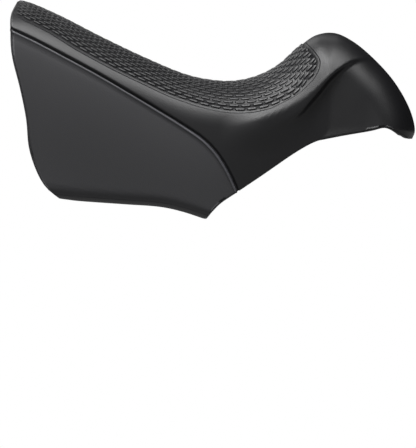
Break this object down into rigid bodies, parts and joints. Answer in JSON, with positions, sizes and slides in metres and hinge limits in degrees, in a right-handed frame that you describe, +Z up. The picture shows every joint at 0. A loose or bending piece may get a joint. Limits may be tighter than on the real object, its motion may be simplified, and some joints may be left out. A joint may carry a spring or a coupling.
{
  "type": "brake lever hood",
  "caption": "Moulded rubber grip hood for a road bike brake lever, a hollow sleeve with a textured grip, a raised nose and a side panel.",
  "frame": {"origin": "middle of the bounding box seen from above, on the surface that the underside strap rests on", "axes": "+X to the nose, +Z up, +Y to the rider's left; the camera of the picture looks along +Y"},
  "size_m": [0.1184, 0.0336, 0.0575],
  "materials": {
    "rubber": "satin black moulded rubber, with a matte dark grey side panel"
  },
  "bodies": {
    "root": {"hood": "rubber"}
  },
  "joints": []
}
